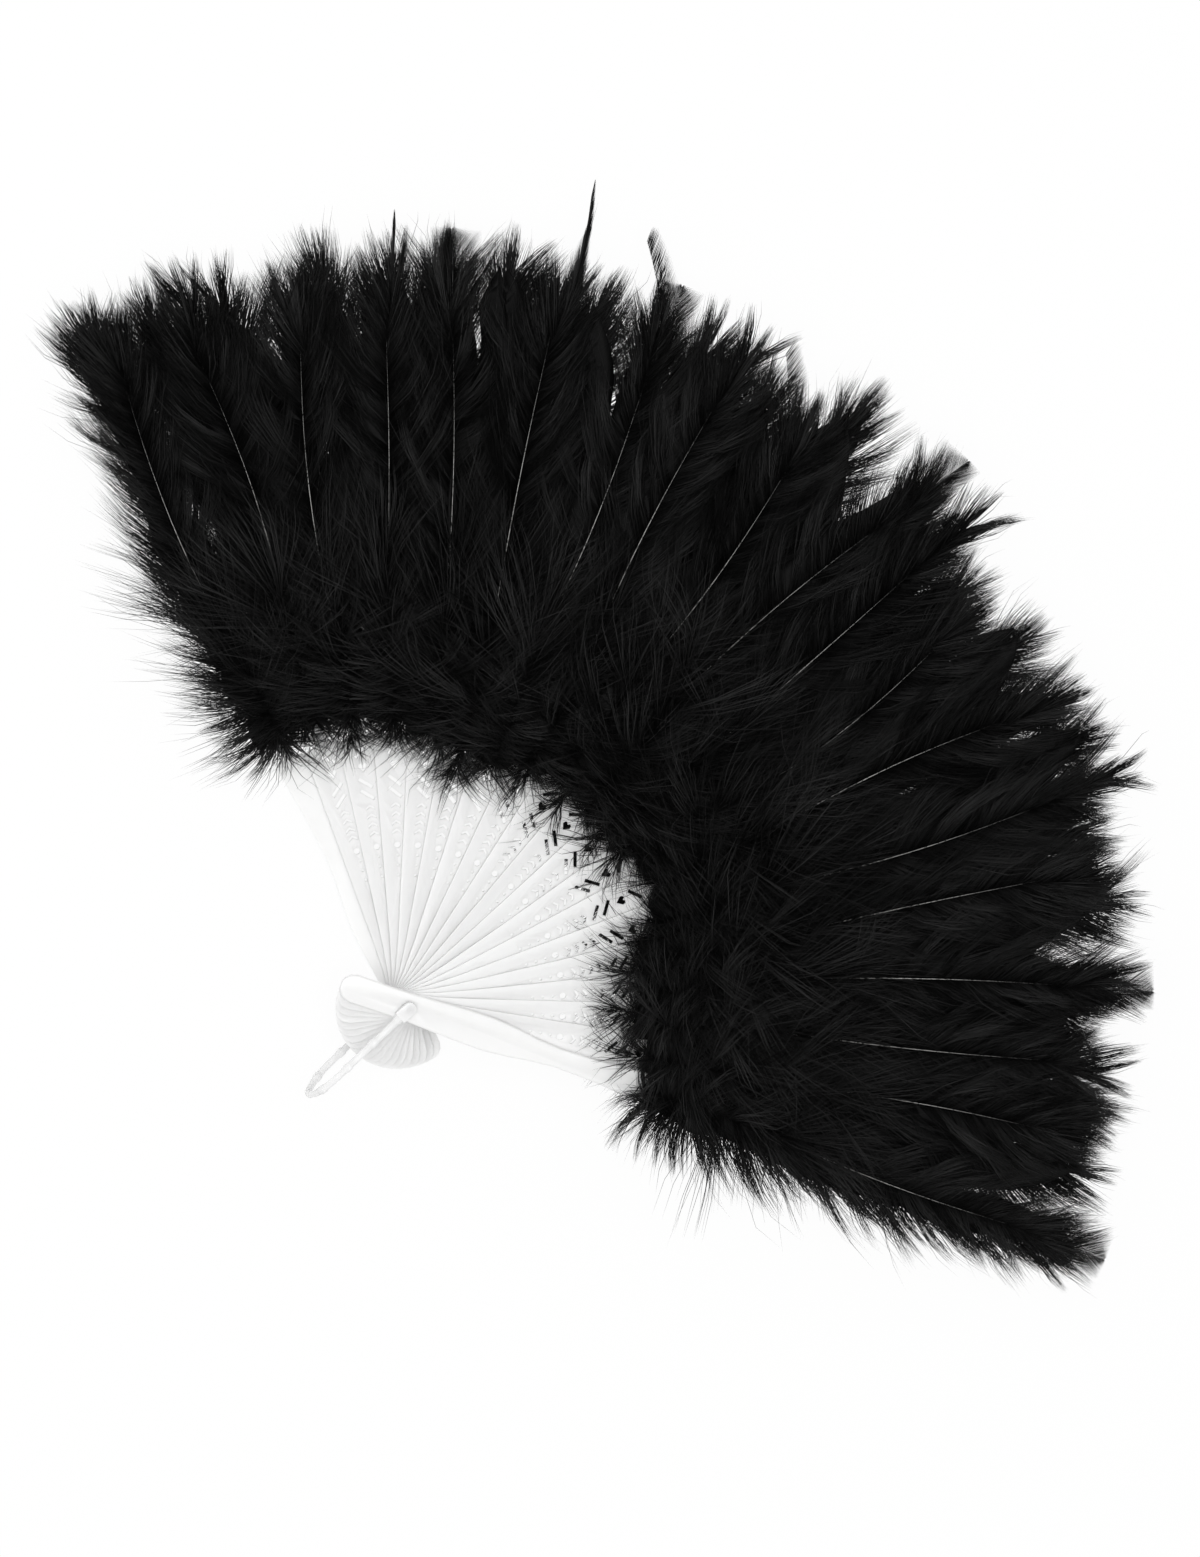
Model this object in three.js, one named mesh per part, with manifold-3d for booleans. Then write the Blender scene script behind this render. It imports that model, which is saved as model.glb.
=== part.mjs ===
// Folding feather fan: pierced plastic sticks on one pivot pin, each carrying a marabou plume.
// A hidden tape links the sticks, and a bamboo-ringed carry loop is sprung over the pin's ends.
// Millimetres, +Z up. The pivot axis is Z. The fan lies open on its back, with its middle along +Y,
// the rear guard lowest and the front guard on top. The origin is on the pivot axis, in the plane it lies on.
import * as THREE from "three";
import { mergeVertices } from "three/addons/utils/BufferGeometryUtils.js";
import Module from "manifold-3d";

const wasm = await Module();
wasm.setup();

// Driving dimensions: the stack of sticks
const INNER_STICKS = 17;
const SPREAD_DEG = 135; // guard to guard when open
const STICK_THICKNESS = 0.9;
const GUARD_THICKNESS = 1.8;
const STICK_GAP = 0.3; // running gap between neighbours on the pin

// Driving dimensions: stick and guard outlines, measured from the pivot
const TAIL_LENGTH = 27;
const TAIL_HALF_WIDTH = 5.3;
const BLADE_LENGTH = 100; // to the shoulder, where the rib begins
const SHOULDER_CORNER = 2.5;
const SHOULDER_STEPS_DEG = [30, 60, 90]; // corners round a rounded shoulder
const TAIL_STEPS_DEG = [15, 35, 60]; // corners round the tail's end
const STICK_WAIST = { at: 22, halfWidth: 4.2 };
const STICK_SHOULDER_HALF_WIDTH = 7.4;
const GUARD_BULGE = { at: 32, halfWidth: 6.5 };
const GUARD_NECK = { at: 60, halfWidth: 3.7 };
const GUARD_SHOULDER_HALF_WIDTH = 5.9;
const GUARD_ROUND = { height: 0.7, inset: 1.6 }; // the rounded rim of a guard's outer face
const EDGE_STEPS = 3; // straight steps between two of an edge's given widths

// Driving dimensions: the rib that runs from the shoulder up into the plume
const RIB_REACH = 200;
const RIB_ROOT_HALF_WIDTH = 2.4;
const RIB_TIP_HALF_WIDTH = 1.4;
const RIB_THICKNESS = 0.5;
const RIB_LAP = 1.2; // how far the rib runs back into the blade

// Driving dimensions: the piercing, listed from the shoulder in towards the pivot
const SHOULDER_MARGIN = 5.5; // shoulder to the outermost slot
const SLOT = { length: 6, width: 1.3, slantDeg: 50, step: 4.4 };
const HEART = { size: 3.4, step: 6 };
const CHEVRON = { halfWidth: 1.7, rise: 1.2, stroke: 1, step: 3.3, count: 4 };
const BIG_DOT_RADIUS = 1.3;
const SMALL_DOT = { radius: 0.6, step: 3.8, count: 3 };
const PATTERN_GAP = 5; // between one kind of cut and the next
const FLIPPED_STICKS = [1, 11, 13]; // assembled other side up, so their slots slant the other way

// Driving dimensions: pivot pin and carry loop
const PIN_RADIUS = 1.2;
const PIN_CLEARANCE = 0.3;
const PIN_CHAMFER = 0.3;
const PIN_SIDES = 10;
const LOOP_REACH = 51; // pivot to the outside of the bight
const LOOP_ANGLE_DEG = 266;
const LOOP_BOSS = { thickness: 2.6, halfWidth: 2.4, length: 5, capWall: 0.8 };
const LOOP_LEG = { halfWidth: 1.35, halfHeight: 1.02 };
const LOOP_COLLAR = { swellRatio: 1.25, length: 2.4, lip: 0.3, spacing: 13 };
const LOOP_SIDES = 8;
const BIGHT_STEPS = 14;

// Driving dimensions: tape and plumes
const TAPE = { setback: 50, width: 12, thickness: 0.2, lap: 2 }; // its middle is set back from the ribs' tips
// The tip of each plume, from the rear guard round to the front guard
const PLUME_REACHES = [
  275, 268, 286, 290, 280, 283, 281, 275, 280, 286, 272, 276, 287, 291, 284, 283, 279, 279, 271,
];
const PLUME_HEIGHT = 10; // crown above the rib; behind the rib, the down hangs to the plane the fan lies on
const PLUME_TIP_RATIO = 0.45; // width of the blunt tip, as a share of the full width
const PLUME_GAP = 0.4; // between neighbouring plumes
const PLUME_CLEARANCE = 0.3; // to the rib and tape that it is glued round
const TUFT_RATIO = 0.07; // how far the edge draws in between barb tufts
const TUFT_STATIONS = 8;

// Derived sizes
const LAST = INNER_STICKS + 1;
const PITCH_ANGLE = THREE.MathUtils.degToRad(SPREAD_DEG) / LAST;
const PITCH = STICK_THICKNESS + STICK_GAP;
const REAR_GUARD_BASE = LOOP_BOSS.thickness + STICK_GAP;
const FIRST_RIB_BASE = REAR_GUARD_BASE + GUARD_THICKNESS - STICK_THICKNESS;
const ribBase = (k) => FIRST_RIB_BASE + k * PITCH;
const FRONT_GUARD_TOP = ribBase(LAST) + GUARD_THICKNESS;
const LOOP_FRONT_BASE = FRONT_GUARD_TOP + STICK_GAP;
const LOOP_TOP = LOOP_FRONT_BASE + LOOP_BOSS.thickness;
const TAPE_RADIUS = RIB_REACH - TAPE.setback;
const TAPE_BASE = (RIB_THICKNESS + PITCH - TAPE.thickness) / 2; // midway between two ribs
const HOLE_RADIUS = (PIN_RADIUS + PIN_CLEARANCE) / Math.cos(Math.PI / PIN_SIDES);
const PLUME_ROOT = BLADE_LENGTH + PLUME_CLEARANCE;
const stickAngle = (k) => Math.PI / 2 + (LAST / 2 - k) * PITCH_ANGLE;

// Materials
const plastic = new THREE.MeshStandardMaterial({ color: 0xf2f2f0, roughness: 0.35, metalness: 0 });
const loopPlastic = new THREE.MeshStandardMaterial({ color: 0xf6f6f5, roughness: 0.2, metalness: 0 });
const feather = new THREE.MeshStandardMaterial({ color: 0x0d0d0e, roughness: 0.85, metalness: 0 });
const cotton = new THREE.MeshStandardMaterial({ color: 0x141414, roughness: 0.95, metalness: 0 });

// A closed geometry as a solid that can be joined and cut.
function toSolid(geometry) {
  const bare = geometry.clone();
  bare.deleteAttribute("normal");
  bare.deleteAttribute("uv");
  const merged = mergeVertices(bare);
  return new wasm.Manifold(
    new wasm.Mesh({
      numProp: 3,
      vertProperties: new Float32Array(merged.attributes.position.array),
      triVerts: new Uint32Array(merged.index.array),
    }),
  );
}

// Flat plates from z = 0 up, one for each outline of [x, y] corners.
function plateSolid(outlines, thickness) {
  const shapes = outlines.map((corners) => new THREE.Shape(corners.map(([x, y]) => new THREE.Vector2(x, y))));
  return toSolid(new THREE.ExtrudeGeometry(shapes, { depth: thickness, bevelEnabled: false }));
}

function toGeometry(solid) {
  const { vertProperties, triVerts } = solid.getMesh();
  const geometry = new THREE.BufferGeometry();
  geometry.setAttribute("position", new THREE.BufferAttribute(vertProperties, 3));
  geometry.setIndex(new THREE.BufferAttribute(triVerts, 1));
  geometry.computeVertexNormals();
  return geometry;
}

// A plate's half width along its length: round tail, a smooth edge and a shoulder with rounded corners.
// edge lists [distance from the pivot, half width] between the tail and the shoulder.
function plateStations(edge, shoulderHalfWidth) {
  const tailCentre = TAIL_HALF_WIDTH - TAIL_LENGTH;
  const cornerStart = BLADE_LENGTH - SHOULDER_CORNER;
  const tail = TAIL_STEPS_DEG.map((deg) => {
    const angle = THREE.MathUtils.degToRad(deg);
    return new THREE.Vector2(tailCentre - TAIL_HALF_WIDTH * Math.cos(angle), TAIL_HALF_WIDTH * Math.sin(angle));
  });
  const through = [[tailCentre, TAIL_HALF_WIDTH], ...edge, [cornerStart, shoulderHalfWidth]];
  const sides = new THREE.SplineCurve(through.map(([x, y]) => new THREE.Vector2(x, y)));
  const corner = SHOULDER_STEPS_DEG.map((deg) => {
    const angle = THREE.MathUtils.degToRad(deg);
    const drop = SHOULDER_CORNER * (1 - Math.cos(angle));
    return new THREE.Vector2(cornerStart + SHOULDER_CORNER * Math.sin(angle), shoulderHalfWidth - drop);
  });
  return [...tail, ...sides.getPoints(EDGE_STEPS * (through.length - 1)), ...corner];
}

// Corners along a circular arc, first and last included.
function arc(x, y, radius, from, to, steps) {
  return Array.from({ length: steps + 1 }, (_, i) => {
    const angle = from + ((to - from) * i) / steps;
    return [x + radius * Math.cos(angle), y + radius * Math.sin(angle)];
  });
}

function roundHole(x, radius, sides) {
  return arc(x, 0, radius, 0, 2 * Math.PI, sides).slice(1);
}

// A slanted slot, centred on the stick's middle line.
function slotHole(x, slantDeg) {
  const slant = THREE.MathUtils.degToRad(slantDeg);
  const along = new THREE.Vector2(Math.cos(slant), Math.sin(slant)).multiplyScalar(SLOT.length / 2);
  const across = new THREE.Vector2(-Math.sin(slant), Math.cos(slant)).multiplyScalar(SLOT.width / 2);
  return [
    [x + along.x + across.x, along.y + across.y],
    [x - along.x + across.x, across.y - along.y],
    [x - along.x - across.x, -along.y - across.y],
    [x + along.x - across.x, along.y - across.y],
  ];
}

// A heart with its point towards the pivot.
function heartHole(x) {
  const half = HEART.size / 2;
  return [
    [x - half, 0],
    [x + half * 0.2, -half],
    [x + half * 0.8, -half * 0.85],
    [x + half, -half * 0.4],
    [x + half * 0.55, 0],
    [x + half, half * 0.4],
    [x + half * 0.8, half * 0.85],
    [x + half * 0.2, half],
  ];
}

// A chevron that points away from the pivot.
function chevronHole(x) {
  const { halfWidth, rise, stroke } = CHEVRON;
  return [
    [x + rise, 0],
    [x, halfWidth],
    [x - stroke, halfWidth],
    [x + rise - stroke, 0],
    [x - stroke, -halfWidth],
    [x, -halfWidth],
  ];
}

// The cuts of one stick, from the shoulder in: slot, heart, two slots, chevrons, a big dot, small dots.
function piercing(flipped) {
  const slant = flipped ? -SLOT.slantDeg : SLOT.slantDeg;
  const holes = [];
  let x = BLADE_LENGTH - SHOULDER_MARGIN;
  holes.push(slotHole(x, -slant));
  x -= HEART.step;
  holes.push(heartHole(x));
  x -= HEART.step;
  holes.push(slotHole(x, slant));
  x -= SLOT.step;
  holes.push(slotHole(x, slant));
  x -= PATTERN_GAP;
  for (let i = 0; i < CHEVRON.count; i++) holes.push(chevronHole(x - i * CHEVRON.step));
  x -= (CHEVRON.count - 1) * CHEVRON.step + PATTERN_GAP;
  holes.push(roundHole(x, BIG_DOT_RADIUS, 7));
  for (let i = 1; i <= SMALL_DOT.count; i++) holes.push(roundHole(x - i * SMALL_DOT.step, SMALL_DOT.radius, 5));
  return holes;
}

// The thin rib, tapering to a round end. Its underside is at z = 0.
function ribSolid() {
  const root = BLADE_LENGTH - RIB_LAP;
  const tipCentre = RIB_REACH - RIB_TIP_HALF_WIDTH;
  const tip = arc(tipCentre, 0, RIB_TIP_HALF_WIDTH, -Math.PI / 2, Math.PI / 2, 4);
  return plateSolid([[[root, -RIB_ROOT_HALF_WIDTH], ...tip, [root, RIB_ROOT_HALF_WIDTH]]], RIB_THICKNESS);
}

function stickGeometry(flipped) {
  const edge = [
    [0, TAIL_HALF_WIDTH * 0.88],
    [STICK_WAIST.at, STICK_WAIST.halfWidth],
  ];
  const stations = plateStations(edge, STICK_SHOULDER_HALF_WIDTH);
  const lowerEdge = stations.map(({ x, y }) => [x, -y]);
  const upperEdge = stations.map(({ x, y }) => [x, y]);
  const outline = [...lowerEdge, ...upperEdge.reverse()];
  const holes = [roundHole(0, HOLE_RADIUS, PIN_SIDES), ...piercing(flipped)];
  const cuts = plateSolid(holes, 3 * STICK_THICKNESS).translate(0, 0, -STICK_THICKNESS);
  return toGeometry(plateSolid([outline], STICK_THICKNESS).subtract(cuts).add(ribSolid()));
}

// A guard's section at one station, flat on its inner face and rounded at the rim of its outer face.
function guardSection(x, halfWidth, outerFaceUp) {
  const inset = Math.min(GUARD_ROUND.inset, 0.6 * halfWidth);
  const right = [
    [halfWidth, 0],
    [halfWidth, GUARD_THICKNESS - GUARD_ROUND.height],
    [halfWidth - 0.3 * inset, GUARD_THICKNESS - 0.3 * GUARD_ROUND.height],
    [halfWidth - inset, GUARD_THICKNESS],
  ];
  const left = right.map(([y, z]) => [-y, z]).reverse();
  const ring = [...right, ...left].map(([y, z]) => {
    return new THREE.Vector3(x, y, outerFaceUp ? z : GUARD_THICKNESS - z);
  });
  return outerFaceUp ? ring : ring.reverse();
}

// A guard from z = 0 up. Its rib's underside is at ribZ.
function guardGeometry(outerFaceUp, ribZ) {
  const edge = [
    [0, TAIL_HALF_WIDTH],
    [GUARD_BULGE.at, GUARD_BULGE.halfWidth],
    [GUARD_NECK.at, GUARD_NECK.halfWidth],
  ];
  const stations = plateStations(edge, GUARD_SHOULDER_HALF_WIDTH);
  const plate = skin(stations.map(({ x, y }) => guardSection(x, y, outerFaceUp)));
  const hole = new THREE.CylinderGeometry(HOLE_RADIUS, HOLE_RADIUS, 3 * GUARD_THICKNESS, PIN_SIDES);
  hole.rotateX(Math.PI / 2);
  return toGeometry(toSolid(plate).subtract(toSolid(hole)).add(ribSolid().translate(0, 0, ribZ)));
}

// Joins rings of points into a closed skin. Each ring runs counter-clockwise seen from the far end.
function skin(rings) {
  const sides = rings[0].length;
  const positions = rings.flat().flatMap((p) => [p.x, p.y, p.z]);
  const index = [];
  for (let j = 0; j + 1 < rings.length; j++) {
    for (let i = 0; i < sides; i++) {
      const a = j * sides + i;
      const b = j * sides + ((i + 1) % sides);
      index.push(a, b, b + sides, a, b + sides, a + sides);
    }
  }
  const far = (rings.length - 1) * sides;
  for (let i = 1; i + 1 < sides; i++) index.push(0, i + 1, i, far, far + i, far + i + 1);
  const geometry = new THREE.BufferGeometry();
  geometry.setAttribute("position", new THREE.Float32BufferAttribute(positions, 3));
  geometry.setIndex(index);
  return geometry;
}

// A plume's section, as shares of its half width and of its height above or depth below the rib.
const PLUME_SECTION = [
  [-1, -0.5],
  [-0.5, -1],
  [0.5, -1],
  [1, -0.5],
  [1, 0.4],
  [0.55, 0.86],
  [0, 1],
  [-0.55, 0.86],
  [-1, 0.4],
];

// Along its length (0 root, 1 tip) a plume keeps its width up to a blunt tip, and is deepest midway.
const plumeWidthShare = (t) => PLUME_TIP_RATIO + (1 - PLUME_TIP_RATIO) * Math.sqrt(1 - Math.pow(t, 18));
const plumeLoftShare = (t) => 0.6 + 0.4 * Math.sin(Math.PI * (0.15 + 0.75 * t));

// One marabou plume, glued round its rib front and back, filling its share of the fan.
function plumeGeometry(k) {
  const reach = PLUME_REACHES[k % PLUME_REACHES.length];
  const rings = [];
  for (let j = 0; j <= TUFT_STATIONS; j++) {
    const t = 1 - Math.pow(1 - j / TUFT_STATIONS, 1.15);
    const x = PLUME_ROOT + (reach - PLUME_ROOT) * t;
    const tuft = j % 2 === 1 ? 1 : 1 - TUFT_RATIO;
    const halfWidth = (x * Math.tan(PITCH_ANGLE / 2) - PLUME_GAP / 2) * plumeWidthShare(t) * tuft;
    const loft = plumeLoftShare(t);
    rings.push(
      PLUME_SECTION.map(([u, v]) => {
        const fullHeight = v < 0 ? ribBase(k) : PLUME_HEIGHT;
        return new THREE.Vector3(x, u * halfWidth, v * fullHeight * loft);
      }),
    );
  }
  const slotFrom = TAPE_BASE - PITCH - PLUME_CLEARANCE;
  const slotTo = TAPE_BASE + TAPE.thickness + PLUME_CLEARANCE;
  const slotEnd = RIB_REACH + PLUME_CLEARANCE;
  const slot = new THREE.BoxGeometry(2 * (slotEnd - BLADE_LENGTH), RIB_REACH, slotTo - slotFrom);
  slot.translate(BLADE_LENGTH, 0, (slotFrom + slotTo) / 2);
  return toGeometry(toSolid(skin(rings)).subtract(toSolid(slot)));
}

// One span of the linking tape, from the rib at angle 0 across to the next rib, clockwise.
function tapeGeometry() {
  const lapAngle = TAPE.lap / TAPE_RADIUS;
  const inner = TAPE_RADIUS - TAPE.width / 2;
  const outer = TAPE_RADIUS + TAPE.width / 2;
  const from = -PITCH_ANGLE - lapAngle;
  const outline = [...arc(0, 0, outer, from, lapAngle, 3), ...arc(0, 0, inner, lapAngle, from, 3)];
  return toGeometry(plateSolid([outline], TAPE.thickness));
}

// The pin: a plain peg with chamfered ends, standing in a blind socket of each loop boss.
function pinGeometry() {
  const bottom = LOOP_BOSS.capWall + PIN_CLEARANCE;
  const top = LOOP_TOP - LOOP_BOSS.capWall - PIN_CLEARANCE;
  const profile = [
    [0, bottom],
    [PIN_RADIUS - PIN_CHAMFER, bottom],
    [PIN_RADIUS, bottom + PIN_CHAMFER],
    [PIN_RADIUS, top - PIN_CHAMFER],
    [PIN_RADIUS - PIN_CHAMFER, top],
    [0, top],
  ].map(([r, z]) => new THREE.Vector2(r, z));
  return new THREE.LatheGeometry(profile, PIN_SIDES).rotateX(Math.PI / 2);
}

// The loop's middle line, from the front boss out along +X, round the bight and back to the rear boss.
// Returns the point and the direction at a distance along it.
function loopLine() {
  const low = LOOP_BOSS.thickness / 2;
  const high = LOOP_TOP - LOOP_BOSS.thickness / 2;
  const bightRadius = (high - low) / 2;
  const straight = LOOP_REACH - LOOP_LEG.halfHeight * LOOP_COLLAR.swellRatio - bightRadius;
  const bightLength = Math.PI * bightRadius;
  const at = (s) => {
    if (s <= straight) return { point: new THREE.Vector3(s, 0, high), turn: 0 };
    if (s >= straight + bightLength) {
      return { point: new THREE.Vector3(2 * straight + bightLength - s, 0, low), turn: Math.PI };
    }
    const turn = (s - straight) / bightRadius;
    const x = straight + bightRadius * Math.sin(turn);
    return { point: new THREE.Vector3(x, 0, low + bightRadius * (1 + Math.cos(turn))), turn };
  };
  return { at, straight, bightLength, length: 2 * straight + bightLength };
}

// Where the loop's rings stand, and how much each swells: plain between the collars, swollen at each.
function loopStations(line) {
  const start = LOOP_BOSS.length / 2;
  const stations = [{ s: start, swell: 1 }];
  const collars = Math.floor((line.length / 2 - LOOP_BOSS.length) / LOOP_COLLAR.spacing);
  const half = LOOP_COLLAR.length / 2;
  for (let i = -collars; i <= collars; i++) {
    const middle = line.length / 2 + i * LOOP_COLLAR.spacing;
    stations.push({ s: middle - half - LOOP_COLLAR.lip, swell: 1 });
    stations.push({ s: middle - half, swell: LOOP_COLLAR.swellRatio });
    stations.push({ s: middle + half, swell: LOOP_COLLAR.swellRatio });
    stations.push({ s: middle + half + LOOP_COLLAR.lip, swell: 1 });
  }
  for (let i = 0; i <= BIGHT_STEPS; i++) {
    const s = line.straight + (line.bightLength * i) / BIGHT_STEPS;
    const offset = (s - line.length / 2) / LOOP_COLLAR.spacing;
    const fromCollar = Math.abs(offset - Math.round(offset)) * LOOP_COLLAR.spacing;
    if (fromCollar > half + 2 * LOOP_COLLAR.lip) stations.push({ s, swell: 1 });
  }
  stations.push({ s: line.length - start, swell: 1 });
  return stations.sort((a, b) => a.s - b.s);
}

// The carry loop: a ringed strip bent into a U, with a flat boss at each end that caps the pin.
function loopGeometry() {
  const line = loopLine();
  const rings = loopStations(line).map(({ s, swell }) => {
    const { point, turn } = line.at(s);
    const normal = new THREE.Vector3(Math.sin(turn), 0, Math.cos(turn));
    const across = new THREE.Vector3(0, 1, 0);
    return Array.from({ length: LOOP_SIDES }, (_, i) => {
      const angle = (2 * Math.PI * (i + 0.5)) / LOOP_SIDES;
      return point
        .clone()
        .addScaledVector(across, LOOP_LEG.halfWidth * swell * Math.cos(angle))
        .addScaledVector(normal, LOOP_LEG.halfHeight * swell * Math.sin(angle));
    });
  });
  const outline = [
    [LOOP_BOSS.length, -LOOP_BOSS.halfWidth],
    [LOOP_BOSS.length, LOOP_BOSS.halfWidth],
    ...arc(0, 0, LOOP_BOSS.halfWidth, Math.PI / 2, (3 * Math.PI) / 2, 8),
  ];
  const rearBoss = plateSolid([outline], LOOP_BOSS.thickness);
  const frontBoss = rearBoss.translate(0, 0, LOOP_FRONT_BASE);
  const socketHeight = LOOP_TOP - 2 * LOOP_BOSS.capWall;
  const sockets = new THREE.CylinderGeometry(HOLE_RADIUS, HOLE_RADIUS, socketHeight, PIN_SIDES);
  sockets.rotateX(Math.PI / 2).translate(0, 0, LOOP_TOP / 2);
  const joined = toSolid(skin(rings)).add(rearBoss).add(frontBoss);
  return toGeometry(joined.subtract(toSolid(sockets)));
}

// Assembly
const fan = new THREE.Group();
const twoDigits = (n) => String(n).padStart(2, "0");

function addMesh(parent, name, geometry, material) {
  const mesh = new THREE.Mesh(geometry, material);
  mesh.name = name;
  parent.add(mesh);
  return mesh;
}

function stickName(k) {
  if (k === 0) return "rear_guard";
  if (k === LAST) return "front_guard";
  return `stick_${twoDigits(k)}`;
}

function plumeName(k) {
  if (k === 0) return "rear_guard_plume";
  if (k === LAST) return "front_guard_plume";
  return `plume_${twoDigits(k)}`;
}

for (let k = 0; k <= LAST; k++) {
  const layer = new THREE.Group();
  layer.position.z = ribBase(k);
  layer.rotation.z = stickAngle(k);
  fan.add(layer);
  if (k === 0) {
    const guard = guardGeometry(false, FIRST_RIB_BASE - REAR_GUARD_BASE);
    addMesh(layer, stickName(k), guard, plastic).position.z = REAR_GUARD_BASE - FIRST_RIB_BASE;
  } else if (k === LAST) {
    addMesh(layer, stickName(k), guardGeometry(true, 0), plastic);
  } else {
    addMesh(layer, stickName(k), stickGeometry(FLIPPED_STICKS.includes(k)), plastic);
  }
  addMesh(layer, plumeName(k), plumeGeometry(k), feather);
  if (k < LAST) addMesh(layer, `link_tape_${twoDigits(k + 1)}`, tapeGeometry(), cotton).position.z = TAPE_BASE;
}

addMesh(fan, "pivot_pin", pinGeometry(), plastic);
addMesh(fan, "carry_loop", loopGeometry(), loopPlastic).rotation.z = THREE.MathUtils.degToRad(LOOP_ANGLE_DEG);

export default fan;
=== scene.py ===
"""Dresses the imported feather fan: milky moulded sticks, a ringed loop, linking tape and marabou plumes."""

from __future__ import annotations

import logging
import math
from abc import ABC, abstractmethod
from collections.abc import Iterable
from dataclasses import dataclass, field
from enum import Enum

import bmesh
import bpy
import numpy as np
from bmesh.types import BMEdge, BMesh, BMFace, BMVert
from bpy.types import Material, Mesh, Node, NodeSocket, NodeTree, Object
from mathutils import Matrix, Vector

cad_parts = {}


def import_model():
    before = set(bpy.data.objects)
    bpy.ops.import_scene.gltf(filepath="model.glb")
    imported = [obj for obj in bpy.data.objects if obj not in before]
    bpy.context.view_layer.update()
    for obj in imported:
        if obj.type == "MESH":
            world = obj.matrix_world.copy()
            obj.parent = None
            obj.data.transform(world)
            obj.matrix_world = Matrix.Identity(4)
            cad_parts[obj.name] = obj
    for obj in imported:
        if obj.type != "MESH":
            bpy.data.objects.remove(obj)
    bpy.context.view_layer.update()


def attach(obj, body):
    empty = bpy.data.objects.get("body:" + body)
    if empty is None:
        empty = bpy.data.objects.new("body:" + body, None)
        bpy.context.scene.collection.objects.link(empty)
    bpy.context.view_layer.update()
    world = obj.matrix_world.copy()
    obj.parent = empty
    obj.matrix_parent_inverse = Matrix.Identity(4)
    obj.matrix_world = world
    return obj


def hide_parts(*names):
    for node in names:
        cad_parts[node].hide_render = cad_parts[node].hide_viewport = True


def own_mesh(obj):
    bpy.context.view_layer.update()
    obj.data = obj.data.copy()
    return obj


LOG = logging.getLogger("feather_fan")
MM = 0.001
WHITE = (1.0, 1.0, 1.0, 1.0)


class Side(Enum):
    """The face of the ribs on which a feather is glued."""

    FRONT = 1
    BACK = -1


def linear(hex_colour: str) -> tuple[float, float, float, float]:
    """Turns an sRGB hex colour into linear red, green, blue and alpha.

    Args:
        hex_colour: Six hex digits, such as "1a1a1a".

    Returns:
        The linear colour with an alpha of 1.
    """
    channels = [int(hex_colour[i : i + 2], 16) / 255 for i in (0, 2, 4)]
    red, green, blue = [c / 12.92 if c <= 0.04045 else ((c + 0.055) / 1.055) ** 2.4 for c in channels]
    return red, green, blue, 1.0


def add_node(
    tree: NodeTree,
    kind: str,
    settings: dict[str, object] | None = None,
    inputs: dict[str | int, object] | None = None,
) -> Node:
    """Adds a shader node, sets its properties and sets or links its inputs.

    Args:
        tree: The node tree to add to.
        kind: The node's type name, less the "ShaderNode" that all of them start with.
        settings: Property names and values.
        inputs: Input names or places, each with a value, or with the socket or the node that feeds it.
            A node feeds it from its first output.

    Returns:
        The new node.
    """
    node = tree.nodes.new(f"ShaderNode{kind}")
    for name, value in (settings or {}).items():
        setattr(node, name, value)
    for name, value in (inputs or {}).items():
        if isinstance(value, Node):
            value = value.outputs[0]
        if isinstance(value, NodeSocket):
            tree.links.new(value, node.inputs[name])
        else:
            node.inputs[name].default_value = value
    return node


def new_material(name: str) -> tuple[Material, NodeTree]:
    """Makes an empty node material.

    Args:
        name: The material's name.

    Returns:
        The material and its node tree.
    """
    material = bpy.data.materials.new(name)
    material.use_nodes = True
    material.node_tree.nodes.clear()
    return material, material.node_tree


def seen_directly(tree: NodeTree) -> NodeSocket:
    """Tells the rays that see a background, straight, in gloss or through glass, from those that light.

    Args:
        tree: The node tree of the background.

    Returns:
        A socket that is 1 for a ray that sees the background, and 0 otherwise.
    """
    rays = add_node(tree, "LightPath")
    seen = rays.outputs["Is Camera Ray"]
    for kind in ("Is Glossy Ray", "Is Transmission Ray"):
        inputs = {0: seen, 1: rays.outputs[kind]}
        seen = add_node(tree, "Math", {"operation": "MAXIMUM"}, inputs).outputs["Value"]
    return seen


def clouded(tree: NodeTree, size_mm: float, detail: float, low: str, high: str) -> Node:
    """Adds a colour that drifts between two others, in patches of about one size.

    Args:
        tree: The node tree to add to.
        size_mm: The patches' size.
        detail: How much finer drift there is inside them.
        low: One of the two colours, in hex.
        high: The other one.

    Returns:
        The node that gives the colour.
    """
    place = add_node(tree, "TexCoord").outputs["Object"]
    inputs = {"Vector": place, "Scale": 1 / (size_mm * MM), "Detail": detail}
    patches = add_node(tree, "TexNoise", inputs=inputs).outputs["Fac"]
    inputs = {"Fac": patches, "Color1": linear(low), "Color2": linear(high)}
    return add_node(tree, "MixRGB", inputs=inputs)


def to_mesh(work: BMesh, name: str, smooth: bool = False) -> Mesh:
    """Turns a finished bmesh into a mesh.

    Args:
        work: The bmesh, which is freed.
        name: The mesh's name.
        smooth: Whether its faces are shaded smooth.

    Returns:
        The new mesh.
    """
    for face in work.faces:
        face.smooth = smooth
    mesh = bpy.data.meshes.new(name)
    work.to_mesh(mesh)
    work.free()
    return mesh


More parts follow.
